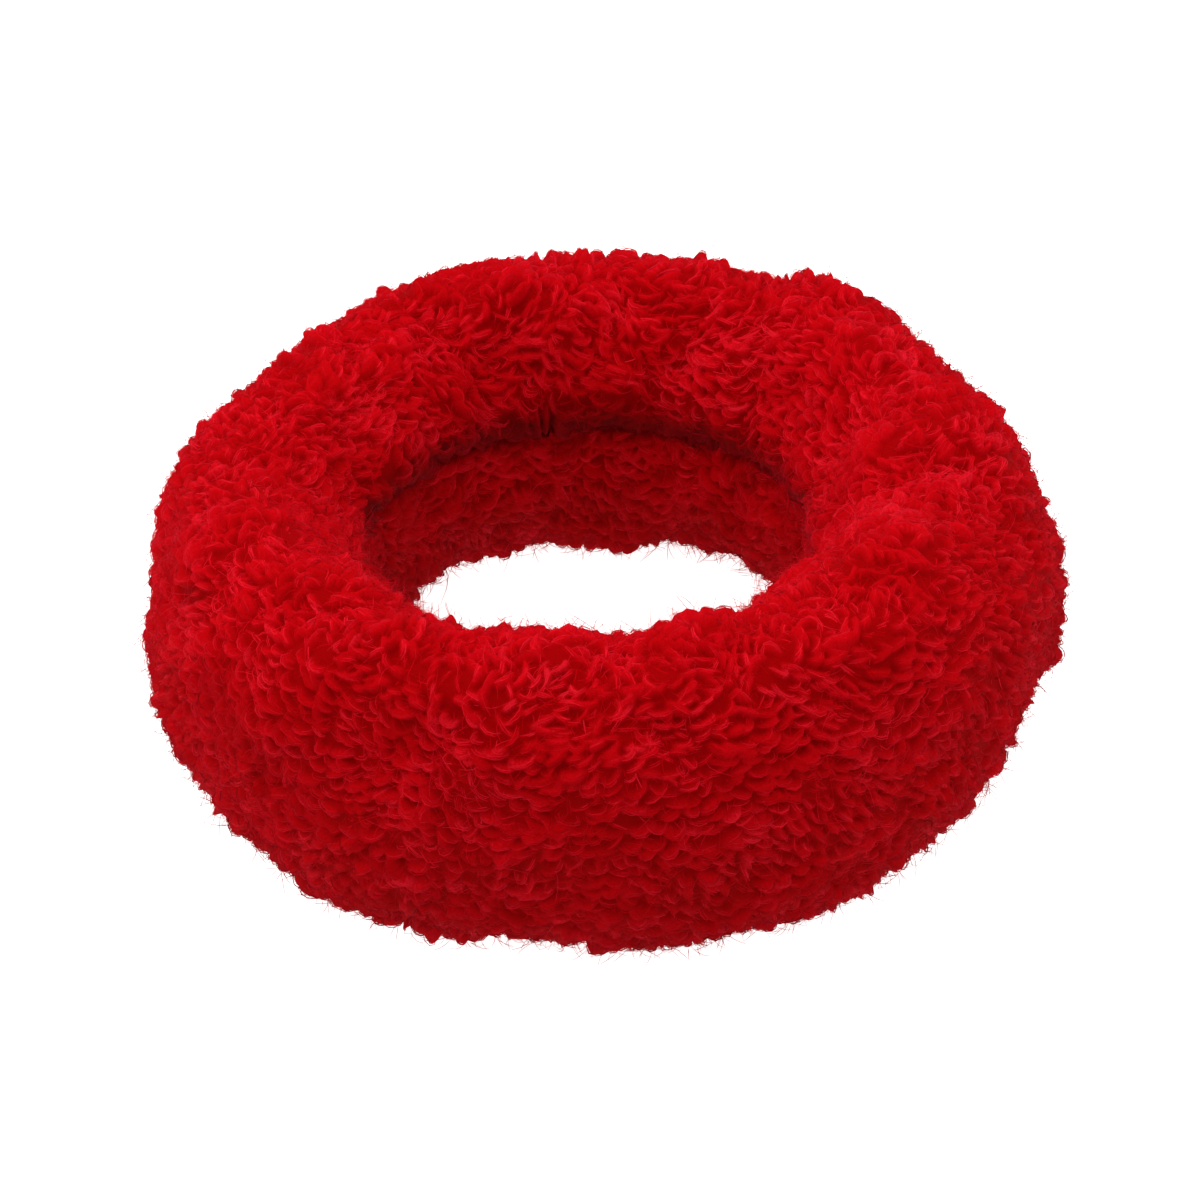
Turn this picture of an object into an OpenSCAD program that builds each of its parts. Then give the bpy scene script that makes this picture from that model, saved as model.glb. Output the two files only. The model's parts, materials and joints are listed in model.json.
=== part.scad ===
// Terry cloth wrist ring: a plump closed roll of loop-pile cloth over wadding and a ring of elastic cord.
// It lies flat on the XY plane. The Z axis is the middle of the opening, and the origin is on the floor.

/* [Ring] */
// Outer diameter over the pile
outer_d = 66; // [60:1:80]
// Height of the ring as it lies
ring_h = 23.5; // [20:0.5:28]
// Width of the roll, from the opening to the outside
roll_w = 17; // [15:0.5:20]
// Squareness of the roll's cross-section, where 2 is an ellipse
squareness = 2.16; // [2:0.02:2.6]
// How far the pile is pressed flat where the ring rests
rest_sag = 0.4; // [0.2:0.1:0.8]
// How far the pile is pressed back around the opening
wall_sag = 0.25; // [0.2:0.01:0.6]

/* [Cloth] */
// Height of the looped pile above the ground knit
pile_t = 2.2; // [1.5:0.1:3]
// Thickness of the ground knit
knit_t = 0.5; // [0.3:0.1:0.8]
// Depth of the two edges of the knit that are turned in at the seam
lip_depth = 1.6; // [1:0.1:2]
// Gap between the two turned-in edges
lip_gap = 0.3; // [0.2:0.1:0.6]
// Diameter of the elastic yarns laid into the knit
inlay_d = 0.3; // [0.2:0.05:0.4]
// Number of places for elastic yarns round the cross-section
inlay_places = 28; // [16:2:36]

/* [Seam] */
// Height of the seam above the middle of the roll
seam_up = 4.4; // [2:0.1:5]
// Width of the groove that the seam makes in the pile
groove_w = 2.2; // [1.8:0.1:3]
// Diameter of the sewing thread
thread_d = 0.36; // [0.3:0.02:0.5]
// Number of stitches round the opening
stitches = 52; // [40:1:60]
// How far each stitch leans along the seam
stitch_lean = 1.1; // [0.6:0.1:1.4]

/* [Elastic cord] */
// Radius of the ring that the cord's middle follows
cord_ring_r = 22.8; // [22.5:0.1:23.5]
// How far the cord lies below the middle of the roll
cord_drop = 1.2; // [0.5:0.1:2]
// Outer diameter of the braid
braid_d = 5; // [4:0.1:5]
// Wall thickness of the braid
braid_t = 0.35; // [0.2:0.05:0.5]
// Gap left where the cord's two ends meet
butt_gap = 0.3; // [0.1:0.1:0.6]

/* [Splice] */
// Length of the sleeve over the cord's two ends
sleeve_l = 11; // [8:1:14]
// Wall thickness of the sleeve
sleeve_t = 0.45; // [0.3:0.05:0.6]
// Number of turns of thread in each whipping
whip_turns = 6; // [3:1:8]
// Direction of the splice, counted from +X
splice_at = 90; // [0:15:345]

/* [Hidden] */
$fn = 96;

section_points = 72;
inlay_sides = 8;
clearance = 0.05;
ring_r = (outer_d - roll_w) / 2;
half_w = roll_w / 2;
half_h = (ring_h + rest_sag) / 2;
mid_z = ring_h - half_h;
wall_x = half_w - wall_sag;
seam_z = mid_z + seam_up;
knit_in = pile_t + clearance;
inlay_in = knit_in + knit_t + clearance + inlay_d / 2;
wadding_in = inlay_in + inlay_d / 2 + clearance;
lips_h = lip_gap + 2 * knit_t;
lip_x = -(half_w - knit_in - knit_t) + lip_depth;

// The thread lies on the knit, in the groove through the pile.
knit_x_at_seam = across(half_w - knit_in, half_h - knit_in, seam_up);
thread_r = ring_r - knit_x_at_seam - clearance - thread_d / 2;
stitch_rise = groove_w - 2 * thread_d;
stitch_angle = atan(stitch_lean / stitch_rise);
stitch_l = stitch_rise / cos(stitch_angle);
arch_rise = thread_d + clearance;
arch_r = (stitch_l * stitch_l / 4 + arch_rise * arch_rise) / (2 * arch_rise);
arch_angle = 2 * asin(stitch_l / 2 / arch_r);
knot_turn_d = thread_d * 1.8;
turn_out = thread_d * 0.65;
knot_ring_r = thread_r - arch_rise - thread_d / 2 - knot_turn_d / 2 - 0.1;
knot_at = 112;
tail_arc = 16;

cord_z = mid_z - cord_drop;
core_r = braid_d / 2 - braid_t - clearance;
strand_pitch = core_r / 1.5;
strand_r = core_r - strand_pitch - clearance;
butt_arc = arc_of(butt_gap);
sleeve_arc = arc_of(sleeve_l);
sleeve_r = braid_d / 2 + clearance;
whip_d = 0.5;
whip_r = sleeve_r + sleeve_t + clearance + whip_d / 2;
whip_step = arc_of(whip_d * 0.85);
whip_start = arc_of(1.2);
splice_clear_r = whip_r + whip_d / 2 + clearance;

// Angle that a length of cord takes up on its ring
function arc_of(length) = length / cord_ring_r * 180 / PI;

// Half-width of a cross-section with half-sizes a and b, at height z from its middle
function across(a, b, z) = a * pow(1 - pow(abs(z) / b, squareness), 1 / squareness);

// One coordinate of a rounded cross-section, from the cosine or sine of its angle
function rounded(half, c) = half * sign(c) * pow(abs(c), 2 / squareness);

// Point of the cross-section that lies a depth inside the pile's surface
function section_point(depth, angle) =
    [rounded(half_w - depth, cos(angle)), rounded(half_h - depth, sin(angle))];

// Cross-section of the roll at a depth inside the pile's surface, round its own middle
module section(depth) {
    polygon([for (i = [0:section_points - 1]) section_point(depth, 360 * i / section_points)]);
}

// The outermost cross-section, pressed flat on the floor and around the opening
module outer_section() {
    intersection() {
        section(0);
        translate([-wall_x, -mid_z]) square([roll_w, ring_h + 1]);
    }
}

// A band across the roll at the seam, from the opening inwards to x
module seam_band(x, height) {
    translate([-half_w - 1, seam_up - height / 2]) square([half_w + 1 + x, height]);
}

// Turns a cross-section into the whole ring
module ring() {
    translate([0, 0, mid_z]) rotate_extrude() translate([ring_r, 0]) children();
}

// A round bar bent along the elastic cord's ring, with its middle at angle `at`
module cord_arc(radius, arc, at = splice_at) {
    translate([0, 0, cord_z]) rotate([0, 0, at - arc / 2])
        rotate_extrude(angle = arc) translate([cord_ring_r, 0]) circle(r = radius);
}

// A thread bent along the seam, from angle `from`
module seam_arc(radius, thread, from, arc) {
    translate([0, 0, seam_z]) rotate([0, 0, from])
        rotate_extrude(angle = arc) translate([radius, 0]) circle(d = thread, $fn = 24);
}

// Places its children on the elastic cord's middle, with Z along the cord
module on_cord(at) {
    translate([0, 0, cord_z]) rotate([0, 0, at]) translate([cord_ring_r, 0, 0]) rotate([90, 0, 0]) children();
}

module torus(ring_radius, bar_radius) {
    rotate_extrude($fn = 48) translate([ring_radius, 0]) circle(r = bar_radius, $fn = 24);
}

// One stitch: a thread that arches towards -X over the running thread at its middle
module stitch() {
    translate([arch_r - arch_rise, 0, 0]) rotate([0, 0, 180 - arch_angle / 2])
        rotate_extrude(angle = arch_angle) translate([arch_r, 0]) circle(d = thread_d, $fn = 24);
}

// Looped pile: the soft outer layer, with the seam's groove on the inside of the ring
module terry_pile() {
    color([0.64, 0.02, 0.05]) ring() difference() {
        outer_section();
        section(pile_t);
        seam_band(-half_w / 2, groove_w);
    }
}

// Ground knit: the thin sleeve that holds the loops, with both edges turned in at the seam
module ground_knit() {
    color([0.42, 0.01, 0.03]) ring() difference() {
        union() {
            difference() {
                section(knit_in);
                section(knit_in + knit_t);
            }
            intersection() {
                section(knit_in);
                seam_band(lip_x, lips_h);
            }
        }
        seam_band(lip_x + knit_t, lip_gap);
    }
}

// Elastic yarns laid in round the inside of the knit, one ring each, with none at the turned-in edges
module inlay_elastic_yarns() {
    color([0.75, 0.10, 0.12])
    for (i = [0:inlay_places - 1]) {
        place = section_point(inlay_in, 360 * i / inlay_places);
        by_seam = place[0] < 0 && abs(place[1] - seam_up) < lips_h / 2 + inlay_d;
        if (!by_seam)
            translate([0, 0, mid_z + place[1]])
                rotate_extrude() translate([ring_r + place[0], 0]) circle(d = inlay_d, $fn = inlay_sides);
    }
}

// Closing seam: a running thread in the groove, with leaning stitches arched over it
module closing_seam() {
    color([0.50, 0.01, 0.04]) {
        seam_arc(thread_r, thread_d, 0, 360);
        for (i = [0:stitches - 1])
            translate([0, 0, seam_z]) rotate([0, 0, 360 * i / stitches]) translate([thread_r, 0, 0])
                rotate([90 - stitch_angle, 0, 0]) stitch();
    }
}

// Knot that locks the seam's thread, with a tail laid along the groove
module seam_lock_knot() {
    color([0.50, 0.01, 0.04]) {
        translate([0, 0, seam_z]) rotate([0, 0, knot_at]) translate([knot_ring_r, 0, 0])
            for (turn = [0:2]) rotate([120 * turn + 40, 0, 0]) translate([0, turn_out, 0])
                sphere(d = knot_turn_d, $fn = 32);
        seam_arc(knot_ring_r, thread_d, knot_at, tail_arc);
    }
}

// Wadding: the soft fibre ring that makes the roll plump, open round the cord and its splice
module wadding_ring() {
    color([0.93, 0.92, 0.90]) difference() {
        ring() difference() {
            section(wadding_in);
            seam_band(lip_x + clearance, lips_h + 2 * clearance);
            translate([cord_ring_r - ring_r, -cord_drop]) circle(r = sleeve_r);
        }
        cord_arc(splice_clear_r, sleeve_arc + arc_of(1));
    }
}

// Braided sheath of the elastic cord, open at the butt under the sleeve
module elastic_braid() {
    color([0.85, 0.84, 0.82]) translate([0, 0, cord_z]) rotate([0, 0, splice_at + butt_arc / 2])
        rotate_extrude(angle = 360 - butt_arc) translate([cord_ring_r, 0]) difference() {
            circle(d = braid_d);
            circle(r = braid_d / 2 - braid_t);
        }
}

// Rubber strands inside the braid: one in the middle and six round it
module elastic_strands() {
    color([0.90, 0.86, 0.74]) translate([0, 0, cord_z]) rotate([0, 0, splice_at + butt_arc / 2])
        for (i = [0:6]) {
            out = i == 0 ? 0 : strand_pitch;
            rotate_extrude(angle = 360 - butt_arc)
                translate([cord_ring_r + out * cos(60 * i), out * sin(60 * i)]) circle(r = strand_r, $fn = 32);
        }
}

// Sleeve that holds the cord's two ends together
module splice_sleeve() {
    color([0.80, 0.80, 0.82]) difference() {
        cord_arc(sleeve_r + sleeve_t, sleeve_arc);
        cord_arc(sleeve_r, sleeve_arc + 2);
    }
}

// Two whippings of thread round the sleeve, one near each end
module splice_binding() {
    color([0.95, 0.95, 0.93])
    for (side = [-1, 1], turn = [0:whip_turns - 1])
        on_cord(splice_at + side * (whip_start + turn * whip_step)) torus(whip_r, whip_d / 2);
}

terry_pile();
ground_knit();
inlay_elastic_yarns();
closing_seam();
seam_lock_knot();
wadding_ring();
elastic_braid();
elastic_strands();
splice_sleeve();
splice_binding();
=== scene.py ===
"""Looks of a terry cloth wrist ring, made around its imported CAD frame.

The roll's skin is a grid over two angles: `turn` goes round the ring and `wrap` goes round the roll's
cross-section, from the outside (0) over the top (a quarter) to the opening (a half). The felted fluff, the
yarn loops and the loose fibres of the pile all stand on that skin. Lengths are metres, written as
millimetres times MM, and every random draw comes from a seeded generator.
"""

import json
import math

import bpy
import numpy as np
from mathutils import Euler, Matrix, Vector


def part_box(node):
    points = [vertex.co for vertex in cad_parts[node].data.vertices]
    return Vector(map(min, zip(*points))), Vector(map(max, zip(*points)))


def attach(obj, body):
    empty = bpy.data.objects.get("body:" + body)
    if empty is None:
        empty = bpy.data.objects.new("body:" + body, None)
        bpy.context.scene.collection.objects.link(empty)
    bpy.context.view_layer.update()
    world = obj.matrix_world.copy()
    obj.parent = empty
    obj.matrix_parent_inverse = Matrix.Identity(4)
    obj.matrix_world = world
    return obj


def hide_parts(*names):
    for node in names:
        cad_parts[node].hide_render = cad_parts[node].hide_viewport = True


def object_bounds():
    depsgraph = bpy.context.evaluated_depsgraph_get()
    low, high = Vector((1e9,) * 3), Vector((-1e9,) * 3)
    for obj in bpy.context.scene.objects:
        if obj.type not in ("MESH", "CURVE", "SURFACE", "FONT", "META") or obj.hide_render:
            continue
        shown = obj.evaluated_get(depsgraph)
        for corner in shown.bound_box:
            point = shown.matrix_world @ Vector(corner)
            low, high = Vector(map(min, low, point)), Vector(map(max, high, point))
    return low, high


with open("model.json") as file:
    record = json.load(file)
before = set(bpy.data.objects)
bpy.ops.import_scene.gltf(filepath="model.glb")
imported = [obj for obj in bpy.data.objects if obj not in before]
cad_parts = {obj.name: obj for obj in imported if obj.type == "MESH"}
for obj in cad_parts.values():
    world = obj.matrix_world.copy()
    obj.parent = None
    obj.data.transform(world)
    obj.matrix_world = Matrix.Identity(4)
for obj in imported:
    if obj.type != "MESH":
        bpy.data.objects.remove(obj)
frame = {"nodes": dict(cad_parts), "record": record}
cad_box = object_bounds()

MM = 0.001
TAU = 2 * math.pi

# ---------------------------------------------------------------- sizes from the frame
WALL_SAG = 0.3 * MM  # how far the pile lies back around the opening
RIM_SAG = 0.4 * MM  # and round the outside
REST_SAG = 0.4 * MM  # and flat on the floor
mounts = {m["name"]: m for m in frame["record"]["mounts"]}
opening_r = mounts["ring_opening"]["dims"]["r_mm"] * MM + WALL_SAG
outer_r = cad_box[1].x - RIM_SAG
ring_r = (outer_r + opening_r) / 2
half_w = (outer_r - opening_r) / 2
half_h = (cad_box[1].z + REST_SAG) / 2
mid_z = cad_box[1].z - half_h
seam_lo, seam_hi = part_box("closing_seam")
seam_up = (seam_lo.z + seam_hi.z) / 2 - mid_z

# ---------------------------------------------------------------- the roll's shape
SQUARENESS = 2.08  # of the cross-section, where 2 is an ellipse
PILE_T = 1.2 * MM  # from the skin to where most loops end
SKIN_TURNS, SKIN_WRAPS = 540, 180
WADDING_DOWN = 0.4 * MM  # how far the wadding lies under the outside of the knit
LUMP = 0.42 * MM  # height of the soft lumps in the stuffing
LUMP_L = 15 * MM
CREASE_DOWN = 2.0 * MM  # from the seam to the crease that shows, because the roll above hangs over the seam
crease_up = seam_up - CREASE_DOWN
CREASE, CREASE_W = 0.9 * MM, 1.0 * MM  # its depth and width
LIP, LIP_UP, LIP_W = 1.1 * MM, 1.7 * MM, 1.9 * MM  # how far, how high and how wide the roll hangs over it
HOLLOW, HOLLOW_DOWN, HOLLOW_W = 0.5 * MM, 1.6 * MM, 2.6 * MM  # the wall under it is drawn back
SHADE, SHADE_UP, SHADE_W = 0.6, 0.8 * MM, 1.8 * MM  # painted shade: round the crease and under the lip over it, the yarn loses up to this share of its colour
BARE_CREASE = 0.45 * MM  # no loops grow closer to it than this
OPENING_SHIFT, OPENING_WAY = 0.9 * MM, 180  # the opening isn't quite in the middle; its direction in degrees
# The outside isn't quite round: lobes, height in metres, and direction of the first lobe in degrees
OUT_OF_ROUND = ((1, 0.25 * MM, 0), (2, 0.33 * MM, 96), (3, 0.38 * MM, -98), (4, 0.28 * MM, 57))

# ---------------------------------------------------------------- the pile
COLUMNS = 160  # loops round the ring in one course of the knit
COURSE_STEP = 0.60 * MM
LEAST_STEP = 0.92 * MM  # loops are dropped where the columns crowd closer than this
LEG_RINGS, TIP_RINGS = 1, 7  # rings of points along each leg of a loop and round its tip
LOOP_RINGS = 2 * LEG_RINGS + TIP_RINGS
LOOP_L = (1.5 * MM, 0.14 * MM)  # mean and spread of a loop's length from foot to tip
LOOP_L_RANGE = (1.2 * MM, 2.6 * MM)
LOOP_HALF_W = (0.78 * MM, 0.16 * MM)
LOOP_HALF_W_RANGE = (0.4 * MM, 1.05 * MM)
ROOT_DEEP = 0.1 * MM  # how far a loop's feet are sunk in the skin
TUFTS = 0.07  # share of their length by which loops differ from one tuft to the next
LOOP_TONE = (0.4, 0.12)
FIBRES = 4  # that show along the yarn of each loop
FIBRE_R = 0.034 * MM
STRAY = (0.04 * MM, 0.15 * MM)  # how far the fibres lie from the middle of the yarn
FIBRE_STEP = 3.6 * MM  # length of yarn in which they turn once
FIBRE_HIGHLIGHT = (0.24, 0.13)  # painted highlight: how much lighter the fibres are than their loop's tone
FOOT_LEAN, FOOT_LEAN_RANGE = (5, 9), (0, 70)  # degrees from the skin's normal
TIP_LEAN, TIP_LEAN_RANGE = (44, 15), (12, 100)
LOOP_TWIST = (12, 24, 13)  # degrees: its mean, its slow change over the roll and its scatter
WOBBLE = 0.09 * MM
DOWN_PULL, SWIRL, JITTER = 1.3, 0.5, 0.25  # shares of what turns the loops' lean
SWIRL_L = 20 * MM
LOOP_FLOOR = 0.3 * MM  # the centreline of a pressed loop lies this high
SECTORS = 16

RELIEF_TURNS, RELIEF_WRAPS = 1536, 480  # the felted fluff that the loops stand in
FLUFF_UP = 0.7 * MM  # its height over the skin between the loops
FLUFF_RISE = 0.05 * MM  # how far it stands over the middle of the yarn along each loop
SHOULDER = 0.13 * MM  # it falls away from the yarn as a parabola of this size
SHOULDER_REACH = (6, 3)  # in cells of its grid, round the ring and round the roll
FLUFF_FLOOR, FLUFF_EASE = 0.05 * MM, 0.3 * MM  # where it is pressed on the floor
FLUFF_TONE = 0.35
FLUFF_SHADE_RISE = 0.6 * MM  # painted shade: over this height its colour goes from the darker red of the loops' feet, in the valleys, to that of their tips
FLUFF_FLATTER = 0.6  # how far its shading follows the roll and not its ridges, because fluff spreads light
FLATTER = 0.85  # the same for the fibres

COMBED, STRAY_COUNT = 8000, 34000  # fibres that lie along the fluff, and that stray from the loops
FIBRE_L, FIBRE_L_RANGE = (1.0 * MM, 0.35 * MM), (0.4 * MM, 3.0 * MM)
FIBRE_FLOOR = 0.05 * MM
FINE_R = 0.018 * MM
WISP_R, WISPS = 0.046 * MM, 0.4  # this share of the combed fibres clings together in wisps
STANDING = 0.45  # share of the stray fibres that stand off
FUZZ_TONE = (0.45, 0.22)
GLINT, GLINTS = 0.4, 0.05  # painted glints: this share of the fibres is that much lighter
FUZZ_RINGS = 4
FINE_SIDES = 3  # of every fibre


def unit(v):
    return v / np.maximum(np.linalg.norm(v, axis=-1, keepdims=True), 1e-12)


def signed_power(x, power):
    return np.sign(x) * np.abs(x) ** power


def bell(x, middle, width):
    return np.exp(-(((x - middle) / width) ** 2))


def soft_floor(z, floor, ease=0.5 * MM):
    """Presses heights down to `floor` and never below it, smoothly."""
    near = floor + ease
    return np.where(z > near, z, floor + ease * np.exp((np.minimum(z, near) - near) / ease))


def ripples(seed, length, count=26):
    """A smooth random function of turn and wrap, about 1 high, whose closed waves are about `length` long."""
    rng = np.random.default_rng(seed)
    way, size, phase = rng.uniform(0, TAU, count), rng.uniform(0.6, 1.4, count), rng.uniform(0, TAU, count)
    girth = TAU * math.hypot(half_w, half_h) / math.sqrt(2)
    round_ring = np.rint(TAU * ring_r / length * size * np.cos(way))
    round_roll = np.rint(girth / length * size * np.sin(way))

    def value(turn, wrap):
        total = np.zeros_like(turn)
        for a, b, p in zip(round_ring, round_roll, phase):
            total += np.cos(a * turn + b * wrap + p)
        return total * math.sqrt(2 / count)

    return value


class Skin:
    """The grid of points that the pile stands on, and what lies between them."""

    def __init__(self, points):
        self.points = points
        along = np.roll(points, -1, 0) - np.roll(points, 1, 0)
        over = np.roll(points, -1, 1) - np.roll(points, 1, 1)
        self.along, self.over = unit(along), unit(over)
        self.normals = unit(np.cross(along, over))
        per_turn = np.linalg.norm(along, axis=-1) * SKIN_TURNS / TAU / 2
        per_wrap = np.linalg.norm(over, axis=-1) * SKIN_WRAPS / TAU / 2
        self.scale = np.stack([per_turn, per_wrap], -1)

    def sample(self, field, turn, wrap):
        u, v = turn / TAU * SKIN_TURNS, wrap / TAU * SKIN_WRAPS
        i, j = np.floor(u).astype(int), np.floor(v).astype(int)
        fu, fv = (u - i)[:, None], (v - j)[:, None]
        i0, i1 = i % SKIN_TURNS, (i + 1) % SKIN_TURNS
        j0, j1 = j % SKIN_WRAPS, (j + 1) % SKIN_WRAPS
        near = field[i0, j0] * (1 - fv) + field[i0, j1] * fv
        far = field[i1, j0] * (1 - fv) + field[i1, j1] * fv
        return near * (1 - fu) + far * fu

    def at(self, turn, wrap):
        """Points, normals and the two surface directions at these angles."""
        fields = (self.points, self.normals, self.along, self.over)
        p, n, a, o = (self.sample(f, turn, wrap) for f in fields)
        return p, unit(n), unit(a), unit(o)

    def under(self, points, turn, wrap):
        """The angles under points near the skin and their heights over it, from a first guess."""
        for _ in range(3):
            place, normal, along, over = self.at(turn, wrap)
            scale = self.sample(self.scale, turn, wrap)
            rest = points - place
            turn = turn + (rest * along).sum(-1) / scale[:, 0]
            wrap = wrap + (rest * over).sum(-1) / scale[:, 1]
        return turn, wrap, (rest * normal).sum(-1)


def roll_points(turn, wrap, depth):
    """The roll's surface, a depth inside the tips of the pile."""
    c, s = np.cos(wrap), np.sin(wrap)
    out = (half_w - depth) * signed_power(c, 2 / SQUARENESS)
    up = (half_h - depth) * signed_power(s, 2 / SQUARENESS)
    lumps = ripples(11, LUMP_L)(turn, wrap) * 0.7 + ripples(12, LUMP_L / 2)(turn, wrap) * 0.3
    swell = 1 + LUMP * np.clip(lumps, -1.2, 1.8) / half_w
    inside = np.clip(-c * 1.6, 0, 1)
    out = out * swell + inside * (
        CREASE * bell(up, crease_up, CREASE_W)
        - LIP * bell(up, crease_up + LIP_UP, LIP_W)
        + HOLLOW * bell(up, crease_up - HOLLOW_DOWN, HOLLOW_W)
    )
    up = up * swell
    radius = ring_r + out
    for lobes, height, first in OUT_OF_ROUND:
        radius = radius + (1 + c) / 2 * height * np.cos(lobes * turn - math.radians(first))
    radius = radius + (1 - c) / 2 * OPENING_SHIFT * np.cos(turn - math.radians(OPENING_WAY))
    z = soft_floor(mid_z + up, depth * 0.45)
    return np.stack([radius * np.cos(turn), radius * np.sin(turn), z], -1)


def make_skin():
    turn = np.arange(SKIN_TURNS) / SKIN_TURNS * TAU
    wrap = np.arange(SKIN_WRAPS) / SKIN_WRAPS * TAU
    turn, wrap = np.meshgrid(turn, wrap, indexing="ij")
    return Skin(roll_points(turn, wrap, PILE_T))


class Section:
    """The outline of the roll's cross-section at the skin, by the length walked along it from the outside."""

    def __init__(self):
        self.wraps = np.linspace(0, TAU, 2001)
        self.out = (half_w - PILE_T) * signed_power(np.cos(self.wraps), 2 / SQUARENESS)
        self.up = (half_h - PILE_T) * signed_power(np.sin(self.wraps), 2 / SQUARENESS)
        steps = np.hypot(np.diff(self.out), np.diff(self.up))
        self.walked = np.concatenate([[0], np.cumsum(steps)])
        self.length = self.walked[-1]

    def wrap(self, walked):
        return np.interp(walked % self.length, self.walked, self.wraps)

    def radius(self, wrap):
        return ring_r + np.interp(wrap, self.wraps, self.out)

    def off_crease(self, wrap):
        height = np.interp(wrap, self.wraps, self.up)
        return (np.cos(wrap) > 0) | (np.abs(height - crease_up) > BARE_CREASE)

    def lit(self, wrap):
        """How much of the yarn's colour is left after the painted shade of the crease and of the lip over it:
        all of it elsewhere.
        """
        height = np.interp(wrap, self.wraps, self.up)
        return 1 - SHADE * np.where(np.cos(wrap) > 0, 0, bell(height, crease_up + SHADE_UP, SHADE_W))


section = Section()


# ---------------------------------------------------------------- meshes
def mesh_object(name, points, faces, material, uv=None, colours=None, normals=None):
    """A smooth object from arrays: points (n, 3), faces of four, uv per face corner, the rest per point."""
    mesh = bpy.data.meshes.new(name)
    mesh.vertices.add(len(points))
    mesh.vertices.foreach_set("co", points.astype(np.float32).ravel())
    mesh.loops.add(faces.size)
    mesh.loops.foreach_set("vertex_index", faces.astype(np.int32).ravel())
    mesh.polygons.add(len(faces))
    mesh.polygons.foreach_set("loop_start", np.arange(0, faces.size, 4, dtype=np.int32))
    if uv is not None:
        layer = mesh.uv_layers.new(name="OFBake")
        layer.data.foreach_set("uv", uv.astype(np.float32).ravel())
    if colours is not None:
        layer = mesh.color_attributes.new("yarn", "FLOAT_COLOR", "POINT")
        layer.data.foreach_set("color", colours.astype(np.float32).ravel())
    mesh.polygons.foreach_set("use_smooth", np.ones(len(faces), bool))
    mesh.update(calc_edges=True)
    mesh.materials.append(material)
    if normals is not None:
        mesh.normals_split_custom_set_from_vertices(normals)
    obj = bpy.data.objects.new(name, mesh)
    bpy.context.scene.collection.objects.link(obj)
    return obj


def cross_axes(centres):
    """Two unit vectors square to each centreline, (tubes, rings, 3), that don't twist along it."""
    ahead = unit(np.gradient(centres, axis=1))
    side = np.cross(ahead[:, 0], (0.31, 0.73, 0.61))
    sides = []
    for k in range(centres.shape[1]):
        side = unit(side - (side * ahead[:, k]).sum(-1, keepdims=True) * ahead[:, k])
        sides.append(side)
    side = np.stack(sides, 1)
    return side, np.cross(ahead, side)


class Tubes:
    """Many tubes of the same make: points and normals, (tubes, rings, sides, 3), and colours, (..., 4).

    A colour's channels are the yarn's tone, its height from foot to tip, which sets the painted shade at its
    feet, and how much colour the painted shade of the crease leaves in it.
    """

    def __init__(self, centres, radius, sides, outward, flatter, tone, depth, lit):
        side, other = cross_axes(centres)
        angle = np.arange(sides) / sides * TAU
        ring = side[:, :, None] * np.cos(angle)[:, None] + other[:, :, None] * np.sin(angle)[:, None]
        self.points = centres[:, :, None] + ring * radius[:, :, None, None]
        self.points[..., 2] = np.maximum(self.points[..., 2], 0.0)
        self.normals = unit(ring * (1 - flatter) + outward[:, None, None] * flatter)
        self.colours = np.ones((*self.points.shape[:3], 4))
        self.colours[..., 0] = tone[:, None, None]
        self.colours[..., 1] = depth[:, :, None]
        self.colours[..., 2] = lit[:, None, None]

    def only(self, chosen):
        part = Tubes.__new__(Tubes)
        part.points, part.normals = self.points[chosen], self.normals[chosen]
        part.colours = self.colours[chosen]
        return part

    def faces(self):
        tubes, rings, sides = self.points.shape[:3]
        k, a = np.meshgrid(np.arange(rings - 1), np.arange(sides), indexing="ij")
        b = (a + 1) % sides
        quads = np.stack([k * sides + a, k * sides + b, (k + 1) * sides + b, (k + 1) * sides + a], -1)
        return (quads.reshape(1, -1, 4) + np.arange(tubes)[:, None, None] * rings * sides).reshape(-1, 4)

    def uv(self, first, cells, gap=0.06):
        """Each tube has its own cell of the map: its length goes across the cell and its girth up it."""
        tubes, rings, sides = self.points.shape[:3]
        k, a = np.meshgrid(np.arange(rings - 1), np.arange(sides), indexing="ij")
        u = np.stack([k, k, k + 1, k + 1], -1) / (rings - 1)
        v = np.stack([a, a + 1, a + 1, a], -1) / sides
        inside = np.stack([u, v], -1).reshape(1, -1, 2) * (1 - 2 * gap) + gap
        cell = first + np.arange(tubes)
        return ((inside + np.stack([cell % cells, cell // cells], -1)[:, None]) / cells).reshape(-1, 2)


def tubes_object(name, groups, material):
    """One object of several groups of tubes."""
    cells = math.ceil(math.sqrt(sum(len(g.points) for g in groups)))
    faces, uv, points, normals, colours, first, done = [], [], [], [], [], 0, 0
    for g in groups:
        faces.append(g.faces() + done)
        uv.append(g.uv(first, cells))
        points.append(g.points.reshape(-1, 3))
        normals.append(g.normals.reshape(-1, 3))
        colours.append(g.colours.reshape(-1, 4))
        first += len(g.points)
        done += len(points[-1])
    join = np.concatenate
    return mesh_object(name, join(points), join(faces), material, join(uv), join(colours), join(normals))


# ---------------------------------------------------------------- materials
def material(name):
    m = bpy.data.materials.new(name)
    m.use_nodes = True
    return m, m.node_tree.nodes, m.node_tree.links, m.node_tree.nodes["Principled BSDF"]


def ramp(nodes, stops):
    node = nodes.new("ShaderNodeValToRGB")
    for k, (place, colour) in enumerate(stops):
        e = node.color_ramp.elements[k] if k < 2 else node.color_ramp.elements.new(place)
        e.position, e.color = place, (*colour, 1)
    return node


def math_node(nodes, links, kind, first, second, third=None):
    """A Math node; each input is a number or another node's output."""
    node = nodes.new("ShaderNodeMath")
    node.operation = kind
    for socket, value in zip(node.inputs, (first, second, third)):
        if isinstance(value, (int, float)):
            socket.default_value = value
        elif value is not None:
            links.new(value, socket)
    return node.outputs["Value"]


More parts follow.
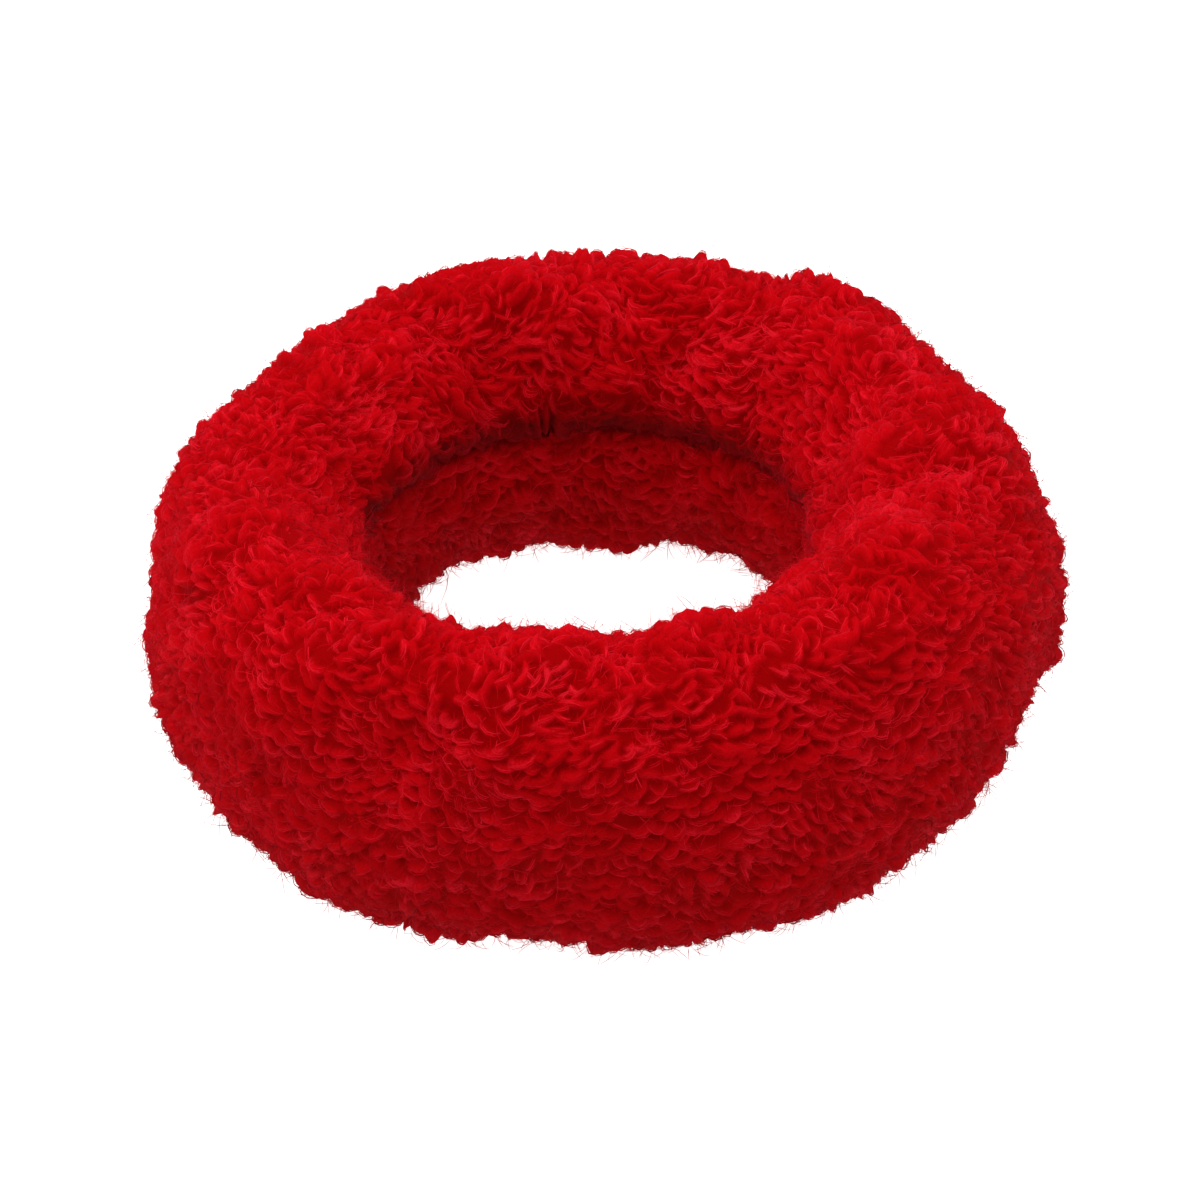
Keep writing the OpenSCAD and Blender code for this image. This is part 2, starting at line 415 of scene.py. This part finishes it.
def yarn_material(name, valley_shade, dark, middle, light):
    """Dyed yarn: each loop has its own tone and streaks of fibre run along it; painted shade darkens its feet
    and the crease.
    """
    m, nodes, links, shader = material(name)
    yarn = nodes.new("ShaderNodeAttribute")
    yarn.attribute_name = "yarn"
    split = nodes.new("ShaderNodeSeparateColor")
    links.new(yarn.outputs["Color"], split.inputs["Color"])
    place = nodes.new("ShaderNodeTexCoord")
    cloud = nodes.new("ShaderNodeTexNoise")
    cloud.inputs["Scale"].default_value = 160
    cloud.inputs["Detail"].default_value = 3
    links.new(place.outputs["Object"], cloud.inputs["Vector"])
    along = nodes.new("ShaderNodeMapping")
    along.inputs["Scale"].default_value = (70, 330, 1)
    streak = nodes.new("ShaderNodeTexNoise")
    streak.inputs["Scale"].default_value = 1
    streak.inputs["Detail"].default_value = 2
    links.new(place.outputs["UV"], along.inputs["Vector"])
    links.new(along.outputs["Vector"], streak.inputs["Vector"])
    total = math_node(nodes, links, "MULTIPLY_ADD", cloud.outputs["Fac"], 0.5, 0.0)
    total = math_node(nodes, links, "MULTIPLY_ADD", streak.outputs["Fac"], 0.5, total)
    total = math_node(nodes, links, "MULTIPLY_ADD", split.outputs["Red"], 0.5, total)
    # the ramp's top colour is reached mostly by the fibres' painted highlights
    tone = ramp(nodes, [(0.45, dark), (0.78, middle), (1.1, light)])
    links.new(total, tone.inputs["Fac"])
    # painted shade: towards the feet of the loops and the fluff's valleys the colour goes to the darker first
    # red
    feet = nodes.new("ShaderNodeMix")
    feet.data_type = "RGBA"
    feet.inputs["A"].default_value = (*valley_shade, 1)
    links.new(split.outputs["Green"], feet.inputs["Factor"])
    links.new(tone.outputs["Color"], feet.inputs["B"])
    # painted shade of the crease: the colour is multiplied by the attribute's third channel
    lit = nodes.new("ShaderNodeMix")
    lit.data_type, lit.blend_type = "RGBA", "MULTIPLY"
    lit.inputs["Factor"].default_value = 1.0
    links.new(feet.outputs["Result"], lit.inputs["A"])
    links.new(split.outputs["Blue"], lit.inputs["B"])
    links.new(lit.outputs["Result"], shader.inputs["Base Color"])
    down = nodes.new("ShaderNodeTexNoise")
    down.inputs["Scale"].default_value = 5500
    down.inputs["Detail"].default_value = 3
    links.new(place.outputs["Object"], down.inputs["Vector"])
    bump = nodes.new("ShaderNodeBump")
    bump.inputs["Strength"].default_value = 0.5
    bump.inputs["Distance"].default_value = 0.08 * MM
    links.new(down.outputs["Fac"], bump.inputs["Height"])
    links.new(bump.outputs["Normal"], shader.inputs["Normal"])
    shader.inputs["Roughness"].default_value = 0.9
    shader.inputs["Specular IOR Level"].default_value = 0.02
    shader.inputs["Sheen Weight"].default_value = 0.2
    shader.inputs["Sheen Roughness"].default_value = 0.4
    shader.inputs["Sheen Tint"].default_value = (1.0, 0.03, 0.06, 1)
    return m


def cloth_material(name, dark, light, scale, roughness, bump, sheen=0.2):
    """Fine fibrous cloth, thread or rubber: speckled colour and a shallow bump of the same pattern."""
    m, nodes, links, shader = material(name)
    place = nodes.new("ShaderNodeTexCoord")
    grain = nodes.new("ShaderNodeTexNoise")
    grain.inputs["Scale"].default_value = scale
    grain.inputs["Detail"].default_value = 4
    links.new(place.outputs["Object"], grain.inputs["Vector"])
    tone = ramp(nodes, [(0.3, dark), (0.7, light)])
    links.new(grain.outputs["Fac"], tone.inputs["Fac"])
    links.new(tone.outputs["Color"], shader.inputs["Base Color"])
    height = nodes.new("ShaderNodeBump")
    height.inputs["Strength"].default_value = bump
    height.inputs["Distance"].default_value = 0.1 * MM
    links.new(grain.outputs["Fac"], height.inputs["Height"])
    links.new(height.outputs["Normal"], shader.inputs["Normal"])
    shader.inputs["Roughness"].default_value = roughness
    shader.inputs["Specular IOR Level"].default_value = 0.02
    shader.inputs["Sheen Weight"].default_value = sheen
    return m


# ---------------------------------------------------------------- pieces
def declare(piece, node):
    """Hangs a piece of the padded roll under the root body and hides the CAD node that it stands for."""
    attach(piece, "root")
    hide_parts(node)


def grid_faces(turns, wraps, rows):
    """Faces and uv of turns x wraps cells, closed round the roll, and round the ring if rows is turns."""
    t, w = np.meshgrid(np.arange(turns), np.arange(wraps), indexing="ij")
    corners = ((t, w), (t + 1, w), (t + 1, w + 1), (t, w + 1))
    faces = np.stack([i % rows * wraps + j % wraps for i, j in corners], -1).reshape(-1, 4)
    uv = np.stack([np.stack([i / turns, j / wraps], -1) for i, j in corners], -2).reshape(-1, 2)
    return faces, uv


def skin_object(skin, name, height, node, cloth):
    """A closed sheet at a height over the skin, which stands for a CAD node."""
    faces, uv = grid_faces(SKIN_TURNS, SKIN_WRAPS, SKIN_TURNS)
    points = skin.points + height * skin.normals
    points[..., 2] = np.maximum(points[..., 2], 0.0)
    declare(mesh_object(name, points.reshape(-1, 3), faces, cloth, uv), node)


def finer(lines, times):
    """The same centrelines with more points."""
    place = np.linspace(0, lines.shape[1] - 1, (lines.shape[1] - 1) * times + 1)
    low = np.minimum(place.astype(int), lines.shape[1] - 2)
    share = (place - low)[:, None]
    return lines[:, low] * (1 - share) + lines[:, low + 1] * share


def fluff_relief(skin, turn, wrap, centres, tone):
    """Height and tone of the fluff over a grid of angles: a soft ridge under the yarn of each loop."""
    lines = finer(centres, 4)
    each = lines.shape[1]
    turn, wrap, height = skin.under(lines.reshape(-1, 3), np.repeat(turn, each), np.repeat(wrap, each))
    tone = np.repeat(tone, each)
    cell = np.array([TAU / RELIEF_TURNS, TAU / RELIEF_WRAPS])
    size = skin.sample(skin.scale, turn, wrap) * cell
    u, v = turn / cell[0], wrap / cell[1]
    i, j = np.rint(u).astype(int), np.rint(v).astype(int)
    up = np.full((RELIEF_TURNS, RELIEF_WRAPS), FLUFF_UP)
    shade = np.full(up.shape, FLUFF_TONE)
    far_i, far_j = SHOULDER_REACH
    reach = [(a, b) for a in range(-far_i, far_i + 1) for b in range(-far_j, far_j + 1)]

    def ridge(a, b):
        away = ((i + a - u) * size[:, 0]) ** 2 + ((j + b - v) * size[:, 1]) ** 2
        return (i + a) % RELIEF_TURNS, (j + b) % RELIEF_WRAPS, height + FLUFF_RISE - away / SHOULDER

    for a, b in reach:
        at_i, at_j, value = ridge(a, b)
        np.maximum.at(up, (at_i, at_j), value)
    for a, b in reach:
        at_i, at_j, value = ridge(a, b)
        top = value >= up[at_i, at_j] - 1e-9
        shade[at_i[top], at_j[top]] = tone[top]
    for field in (up, shade):
        for axis in (0, 1):
            field[:] = (np.roll(field, 1, axis) + 2 * field + np.roll(field, -1, axis)) / 4
    return up, shade


def fluff_pieces(skin, up, shade, yarn):
    """The felted fluff as a closed tube of sectors."""
    turn = np.arange(RELIEF_TURNS) / RELIEF_TURNS * TAU
    wrap = np.arange(RELIEF_WRAPS) / RELIEF_WRAPS * TAU
    turn, wrap = np.meshgrid(turn, wrap, indexing="ij")
    place, normal = skin.at(turn.ravel(), wrap.ravel())[:2]
    points = place + normal * up.reshape(-1, 1)
    points[:, 2] = soft_floor(points[:, 2], FLUFF_FLOOR, FLUFF_EASE)
    points = points.reshape(RELIEF_TURNS, RELIEF_WRAPS, 3)
    normal = normal.reshape(points.shape)
    ahead = np.roll(points, -1, 0) - np.roll(points, 1, 0)
    above = np.roll(points, -1, 1) - np.roll(points, 1, 1)
    shading = unit(unit(np.cross(ahead, above)) * (1 - FLUFF_FLATTER) + normal * FLUFF_FLATTER)
    colours = np.ones((*up.shape, 4))
    colours[..., 0] = shade
    # painted shade: the fluff's valleys take the darker red of the loops' feet
    colours[..., 1] = np.clip((up - FLUFF_UP) / FLUFF_SHADE_RISE, 0, 1)
    # painted shade of the crease and of the lip over it
    colours[..., 2] = section.lit(wrap)
    step = RELIEF_TURNS // SECTORS
    faces, uv = grid_faces(step, RELIEF_WRAPS, step + 1)
    for k in range(SECTORS):
        rows = np.arange(k * step, (k + 1) * step + 1) % RELIEF_TURNS
        piece = mesh_object(
            f"pile_fluff_{k + 1:02d}", points[rows].reshape(-1, 3), faces, yarn, uv,
            colours[rows].reshape(-1, 4), shading[rows].reshape(-1, 3)
        )
        declare(piece, "terry_pile")


def loop_places(rng):
    """The feet of the loops: courses round the roll, columns round the ring, thinned where they crowd."""
    courses = round(section.length / COURSE_STEP)
    row, column = np.meshgrid(np.arange(courses), np.arange(COLUMNS), indexing="ij")
    row, column = row.ravel(), column.ravel()
    wrap = section.wrap((row + 0.5 + rng.normal(0, 0.22, row.size)) * section.length / courses)
    turn = (column + 0.3 * (row % 2) + rng.normal(0, 0.17, row.size)) / COLUMNS * TAU
    step = TAU * section.radius(wrap) / COLUMNS
    kept = (rng.random(row.size) < step / LEAST_STEP) & section.off_crease(wrap)
    return turn[kept] % TAU, wrap[kept]


def scattered_places(rng, count):
    """Places spread evenly over the roll."""
    wrap = section.wrap(rng.random(2 * count) * section.length)
    kept = (rng.random(2 * count) < section.radius(wrap) / outer_r) & section.off_crease(wrap)
    wrap = wrap[kept][:count]
    return rng.random(wrap.size) * TAU, wrap


def lean_directions(rng, skin, turn, wrap):
    """Which way the loops lie: down the sides of the roll, and in swirls on its top."""
    points, normal, along, over = skin.at(turn, wrap)
    down = -np.array([0, 0, 1.0]) + normal[:, 2:3] * normal
    swirl = ripples(21, SWIRL_L)(turn, wrap) * 1.6 + ripples(22, SWIRL_L * 2)(turn, wrap) * 1.4
    swirl = swirl[:, None]
    lean = DOWN_PULL * down + SWIRL * (np.cos(swirl) * over + np.sin(swirl) * along)
    lean += JITTER * (rng.normal(size=(turn.size, 1)) * over + rng.normal(size=(turn.size, 1)) * along)
    lean = unit(lean - (lean * normal).sum(-1, keepdims=True) * normal)
    return points, normal, lean


def loop_centres(rng, points, normal, lean, length, half_width, foot_lean, tip_lean, twist):
    """Centrelines of yarn loops, (loops, LOOP_RINGS, 3): up one leg, round the tip and down the other."""
    length, half_width = length[:, None], half_width[:, None]
    foot, tip, twist = (np.radians(angles[:, None]) for angles in (foot_lean, tip_lean, twist))
    leg = length - half_width
    yarn = 2 * leg + math.pi * half_width
    up = np.linspace(0, 1, LEG_RINGS, endpoint=False) * leg
    top = leg + np.linspace(0, math.pi, TIP_RINGS) * half_width
    walked = np.concatenate([up, top, (yarn - up)[:, ::-1]], 1)
    arc = np.clip((walked - leg) / half_width, 0, math.pi)
    rise = np.where(walked < leg, walked, np.where(walked > yarn - leg, yarn - walked, leg))
    rise = rise + half_width * np.sin(arc)
    share = rise / length
    side = half_width * np.cos(arc) * (0.55 + 0.45 * np.sin(np.clip(share, 0, 1) * math.pi / 2))
    bend = (tip - foot) / length
    angle = foot + bend * rise
    out = (np.sin(angle) - np.sin(foot)) / bend
    over = (np.cos(foot) - np.cos(angle)) / bend
    twist = twist * (0.35 + 0.65 * share)
    across = np.cross(normal, lean)[:, None]
    normal, lean = normal[:, None], lean[:, None]
    facing = np.cos(angle)[..., None] * lean - np.sin(angle)[..., None] * normal
    centres = points[:, None] + out[..., None] * normal + over[..., None] * lean
    twist = twist[..., None]
    centres = centres + side[..., None] * (np.cos(twist) * across + np.sin(twist) * facing)
    wobble = rng.normal(0, WOBBLE, (len(points), 3, 1, 3)) * np.sin(
        np.arange(1, 4)[None, :, None, None] * walked[:, None, :, None] / yarn[:, None, :, None] * math.pi
    )
    return centres + wobble.sum(1), walked, share


def pile(skin):
    """The loops of the pile: the fibres that show along them, and where each loop is and how it runs."""
    rng = np.random.default_rng(31)
    turn, wrap = loop_places(rng)
    points, normal, lean = lean_directions(rng, skin, turn, wrap)
    n = turn.size
    tuft = 1 + TUFTS * ripples(23, 6 * MM)(turn, wrap) + TUFTS * ripples(24, 2.8 * MM, 60)(turn, wrap)
    centres, walked, share = loop_centres(
        rng,
        points - normal * ROOT_DEEP,
        normal,
        lean,
        np.clip(rng.normal(*LOOP_L, n), *LOOP_L_RANGE) * tuft,
        np.clip(rng.normal(*LOOP_HALF_W, n), *LOOP_HALF_W_RANGE),
        np.clip(rng.normal(*FOOT_LEAN, n), *FOOT_LEAN_RANGE),
        np.clip(rng.normal(*TIP_LEAN, n), *TIP_LEAN_RANGE),
        LOOP_TWIST[0] + LOOP_TWIST[1] * ripples(25, 9 * MM)(turn, wrap) + rng.normal(0, LOOP_TWIST[2], n),
    )
    centres[..., 2] = soft_floor(centres[..., 2], LOOP_FLOOR)
    share = np.clip(share, 0, 1)
    tone = np.clip(rng.normal(*LOOP_TONE, n), 0, 1)
    # painted shade of the crease and of the lip over it
    lit = section.lit(wrap)
    side, other = cross_axes(centres)
    tip = slice(LEG_RINGS, LEG_RINGS + TIP_RINGS)
    start = rng.uniform(0, TAU, n)[:, None]
    fibres = []
    for k in range(FIBRES):
        angle = walked / FIBRE_STEP * TAU + start + k / FIBRES * TAU + rng.normal(0, 0.35, (n, 1))
        angle = angle + rng.normal(0, 0.5, (n, 1)) * np.sin(share * math.pi)
        out = rng.uniform(*STRAY, (n, 1)) * (0.7 + 0.4 * share + rng.normal(0, 0.10, share.shape))
        out, angle = out[..., None], angle[..., None]
        path = centres + out * (np.cos(angle) * side + np.sin(angle) * other)
        thin = FIBRE_R * rng.uniform(0.7, 1.35, (n, 1)) * np.ones(TIP_RINGS)
        # painted highlight: the fibres are lighter than their loop
        shade = np.clip(tone + rng.normal(*FIBRE_HIGHLIGHT, n), 0, 1)
        fibres.append(Tubes(path[:, tip], thin, FINE_SIDES, normal, FLATTER, shade, share[:, tip], lit))
    return fibres, turn, wrap, centres, normal, tone


def fibre_paths(rng, start, heading, away, sink):
    """Short curved fibres from their roots: (fibres, FUZZ_RINGS, 3)."""
    one = (len(start), 1)
    length = np.clip(rng.normal(*FIBRE_L, one), *FIBRE_L_RANGE)
    share = np.linspace(0, 1, FUZZ_RINGS)[None]
    bend = unit(np.cross(heading, away))
    paths = (
        start[:, None]
        + (share * length)[..., None] * heading[:, None]
        + (rng.normal(0, 0.6, one) * length * share**2)[..., None] * bend[:, None]
        - (sink * length * share**2)[..., None] * away[:, None]
    )
    paths[..., 2] = np.maximum(paths[..., 2], FIBRE_FLOOR)
    return paths


def fuzz(skin, turn, wrap, centres, normal):
    """Fine fibres: some combed along the fluff, others astray from the loops, of which some stand off."""
    rng = np.random.default_rng(41)
    combed_turn, combed_wrap = scattered_places(rng, COMBED)
    points, away, lean = lean_directions(rng, skin, combed_turn, combed_wrap)
    one = (len(combed_wrap), 1)
    root = points + away * (FLUFF_UP + rng.uniform(-0.05, 0.3, one) * MM)
    across = np.cross(away, lean)
    heading = unit(lean + across * rng.normal(0, 0.5, one) + away * rng.uniform(0.15, 0.45, one))
    combed = fibre_paths(rng, root, heading, away, 0.4)

    loop = rng.integers(0, len(centres), STRAY_COUNT)
    ring = np.rint(rng.normal(LOOP_RINGS / 2, LOOP_RINGS / 6, STRAY_COUNT))
    ring = np.clip(ring, 1, LOOP_RINGS - 2).astype(int)
    root, out = centres[loop, ring], normal[loop]
    along = unit(centres[loop, ring + 1] - centres[loop, ring - 1])
    one = (STRAY_COUNT, 1)
    standing = rng.random(one) < STANDING
    spread = rng.normal(0, 0.5, (STRAY_COUNT, 3))
    spread -= (spread * out).sum(-1, keepdims=True) * out
    lift = np.where(standing, rng.uniform(0.5, 1.2, one), rng.uniform(-0.05, 0.3, one))
    heading = unit(out * lift + along * rng.choice((-1, 1), one) * 0.8 + spread)
    stray = fibre_paths(rng, root + out * 0.15 * MM, heading, out, np.where(standing, 0.0, 0.35))

    away = np.concatenate([away, out])
    paths = np.concatenate([combed, stray])
    n = len(paths)
    wisp = (np.arange(n) < len(combed)) & (rng.random(n) < WISPS)
    thin = np.where(wisp, WISP_R, FINE_R)[:, None] * rng.uniform(0.7, 1.4, (n, 1))
    thin = thin * (0.35 + 0.65 * np.sin(math.pi * np.linspace(0.12, 0.95, FUZZ_RINGS)))
    # painted glints: a few fibres are lighter still
    tone = np.clip(rng.normal(*FUZZ_TONE, n) + GLINT * (rng.random(n) < GLINTS), 0, 1)
    # painted shade of the crease and of the lip over it
    lit = section.lit(np.concatenate([combed_wrap, wrap[loop]]))
    fibres = Tubes(paths, thin, FINE_SIDES, away, FLATTER, tone, np.ones_like(thin), lit)
    return fibres, np.concatenate([combed_turn, turn[loop]])


def pile_pieces(skin, yarn):
    """The pile's loops and fibres in equal sectors round the ring, so that no piece is too heavy."""
    fibres, turn, wrap, centres, normal, tone = pile(skin)
    up, shade = fluff_relief(skin, turn, wrap, centres, tone)
    fluff_pieces(skin, up, shade, yarn)
    loose, loose_turn = fuzz(skin, turn, wrap, centres, normal)
    sector = np.floor(turn / TAU * SECTORS).astype(int) % SECTORS
    loose_sector = np.floor(loose_turn / TAU * SECTORS).astype(int) % SECTORS
    for k in range(SECTORS):
        here = sector == k
        loops = tubes_object(f"pile_loops_{k + 1:02d}", [g.only(here) for g in fibres], yarn)
        down = tubes_object(f"pile_fuzz_{k + 1:02d}", [loose.only(loose_sector == k)], yarn)
        for piece in (loops, down):
            piece.visible_shadow = piece.visible_diffuse = False  # too fine to shade what lies under them
            declare(piece, "terry_pile")


# ---------------------------------------------------------------- stage
CAMERA_UP = 35.8  # degrees above the floor
CAMERA_AWAY = 321 * MM
CAMERA_LENS = 132.3
CAMERA_ROLL = 2.2  # degrees
AIM = (-0.12 * MM, -1.22 * MM, 0)  # from the roll's middle to what the camera looks at, in its own axes


def camera():
    data = bpy.data.cameras.new("camera")
    data.lens = CAMERA_LENS
    data.sensor_width = 36
    data.clip_start, data.clip_end = 0.01, 20
    cam = bpy.data.objects.new("camera", data)
    up = math.radians(CAMERA_UP)
    look = Euler((math.pi / 2 - up, 0, 0)).to_matrix()
    middle = Vector((0, 0, mid_z)) + look @ Vector(AIM)
    place = middle + look @ Vector((0, 0, CAMERA_AWAY))
    rolled = look @ Matrix.Rotation(math.radians(-CAMERA_ROLL), 3, "Z")
    cam.matrix_world = Matrix.Translation(place) @ rolled.to_4x4()
    bpy.context.scene.collection.objects.link(cam)
    bpy.context.scene.camera = cam


def area_light(name, place, size, watts):
    """A square white light that faces the origin."""
    data = bpy.data.lights.new(name, "AREA")
    data.size, data.energy = size, watts
    lamp = bpy.data.objects.new(name, data)
    lamp.location = place
    lamp.rotation_euler = (-lamp.location).to_track_quat("-Z", "Y").to_euler()
    bpy.context.scene.collection.objects.link(lamp)


def studio():
    world = bpy.data.worlds.new("studio")
    world.use_nodes = True
    world.node_tree.nodes["Background"].inputs["Color"].default_value = (1, 1, 1, 1)
    world.node_tree.nodes["Background"].inputs["Strength"].default_value = 0.5
    bpy.context.scene.world = world
    area_light("back", (-0.05, 0.35, 0.72), 0.5, 1.9)
    area_light("left", (-0.66, 0.10, 0.46), 0.6, 2.2)
    area_light("right", (0.68, 0.10, 0.36), 0.6, 1.95)
    area_light("front", (-0.1, -0.3, 0.78), 0.6, 1.55)
    area_light("table", (-0.25, -0.05, -0.5), 1.2, 1.5)
    paper, _, _, shader = material("floor_paper")
    shader.inputs["Base Color"].default_value = (0.93, 0.93, 0.93, 1)
    shader.inputs["Emission Color"].default_value = (1, 1, 1, 1)
    shader.inputs["Emission Strength"].default_value = 1.0
    shader.inputs["Roughness"].default_value = 0.9
    corners = np.array([(-3, -3, 0), (3, -3, 0), (3, 3, 0), (-3, 3, 0)], float)
    floor = mesh_object("floor", corners, np.array([[0, 1, 2, 3]]), paper)
    # A lit table: the world and the light below it shine through it, and no shadow falls on it
    floor.visible_diffuse = floor.visible_shadow = False
    bpy.context.scene.view_settings.view_transform = "Standard"


def repaint_cad():
    """Each CAD node that stays gets a procedural material of its own."""
    thread = ((0.16, 0.0002, 0.001), (0.3, 0.0004, 0.002), 6000, 0.9, 0.4, 0.0)
    looks = {
        "inlay_elastic_yarns": ("covered_elastic", (0.35, 0.005, 0.01), (0.6, 0.02, 0.03), 4000, 0.8, 0.3),
        "closing_seam": ("seam_thread", *thread),
        "seam_lock_knot": ("seam_knot", *thread),
        "elastic_braid": ("cord_braid", (0.55, 0.53, 0.5), (0.8, 0.78, 0.75), 2500, 0.8, 0.6),
        "elastic_strands": ("cord_rubber", (0.7, 0.62, 0.42), (0.82, 0.75, 0.56), 700, 0.55, 0.15, 0.0),
        "splice_sleeve": ("splice_sleeve", (0.55, 0.55, 0.58), (0.66, 0.66, 0.69), 1200, 0.35, 0.1, 0.0),
        "splice_binding": ("splice_thread", (0.75, 0.74, 0.7), (0.92, 0.91, 0.88), 5000, 0.7, 0.4),
    }
    for node, recipe in looks.items():
        look = cloth_material(*recipe)
        for place in frame["nodes"][node].material_slots:
            place.material = look


camera()
skin = make_skin()
# the first colour is the painted shade of the loops' feet and the fluff's valleys
yarn = yarn_material(
    "terry_yarn", (0.34, 0.0001, 0.001), (0.44, 0.0002, 0.0012), (0.58, 0.0008, 0.0045), (0.80, 0.010, 0.024)
)
knit = cloth_material("ground_knit", (0.4, 0.0004, 0.002), (0.6, 0.0008, 0.004), 2500, 0.95, 0.6, 0.0)
wadding = cloth_material("wadding_fibre", (0.7, 0.69, 0.66), (0.9, 0.89, 0.87), 900, 0.95, 0.8, 0.4)
skin_object(skin, "knit_sleeve", 0, "ground_knit", knit)
skin_object(skin, "wadding_roll", -WADDING_DOWN, "wadding_ring", wadding)
pile_pieces(skin, yarn)
repaint_cad()
studio()
